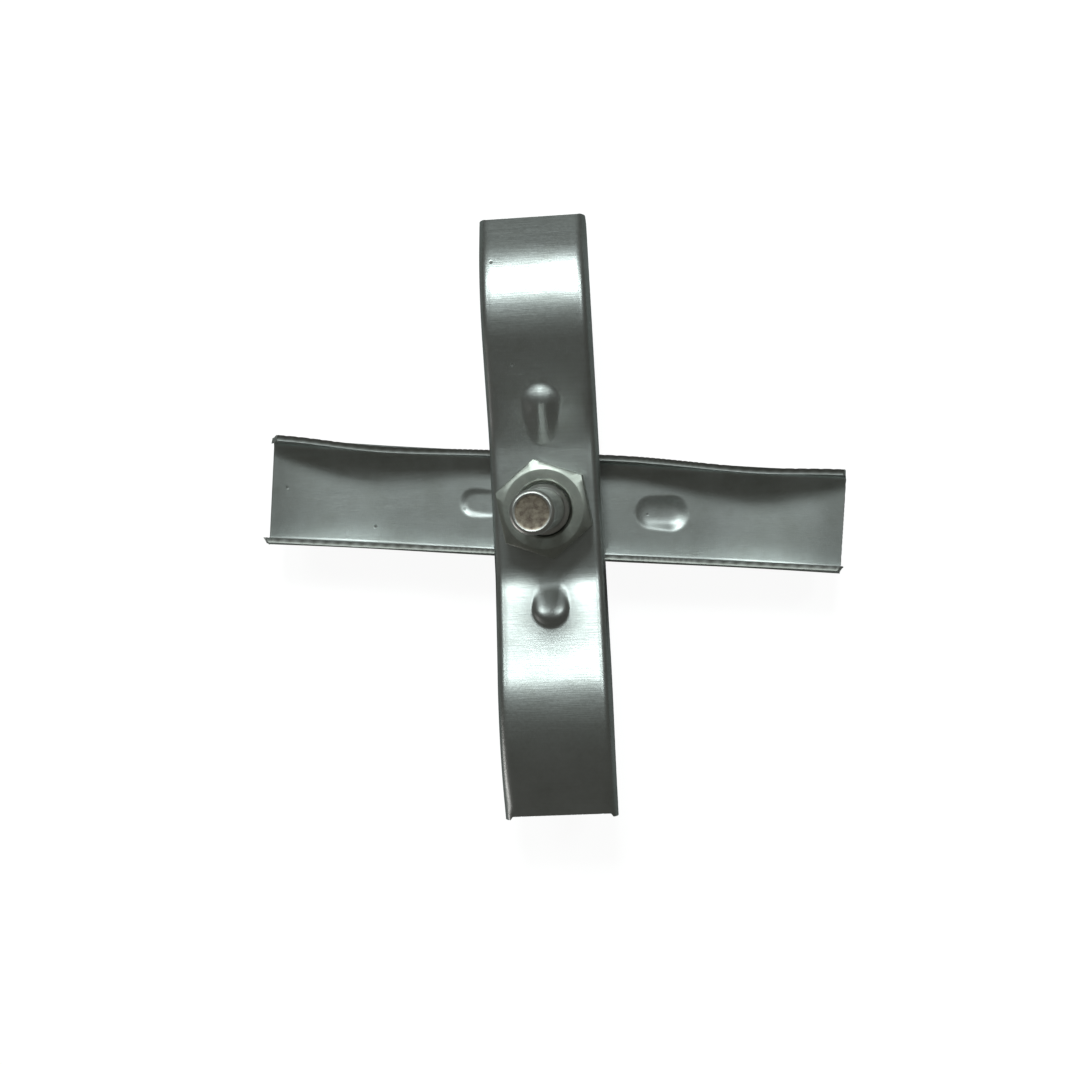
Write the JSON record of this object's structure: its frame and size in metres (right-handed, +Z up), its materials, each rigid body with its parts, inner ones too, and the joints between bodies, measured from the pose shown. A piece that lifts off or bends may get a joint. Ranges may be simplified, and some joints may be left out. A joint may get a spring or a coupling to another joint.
{
  "type": "mortar mixing paddle",
  "caption": "Cross-shaped mixing head: pressed galvanised channel blades clamped on a bolt whose turned-down end is the drill shank.",
  "frame": {"origin": "on the bolt's axis, at the shoulder where the plain shank for the drill chuck begins", "axes": "+Z up the shank towards the drill, +Y along the front blade, +X roughly along the rear blade"},
  "size_m": [0.1203, 0.1186, 0.0614],
  "materials": {
    "galvanised_sheet": "dull galvanised, rolled grain",
    "bolt_steel": "turned, slightly oxidised",
    "zinc_plate": "zinc plated",
    "spring_steel": "dark zinc plated"
  },
  "bodies": {
    "spindle": {"shank_bolt": "bolt_steel", "clamp_nut": "zinc_plate", "lock_washer": "spring_steel", "front_blade": "galvanised_sheet"},
    "rear_arm": {"rear_blade": "galvanised_sheet"}
  },
  "joints": [
    {"name": "blade_swivel", "type": "hinge", "parent": "spindle", "child": "rear_arm", "pos_m": [0, 0, -0.0242], "axis": [0, 0, 1], "range_deg": [-83.9, 96.1]}
  ]
}
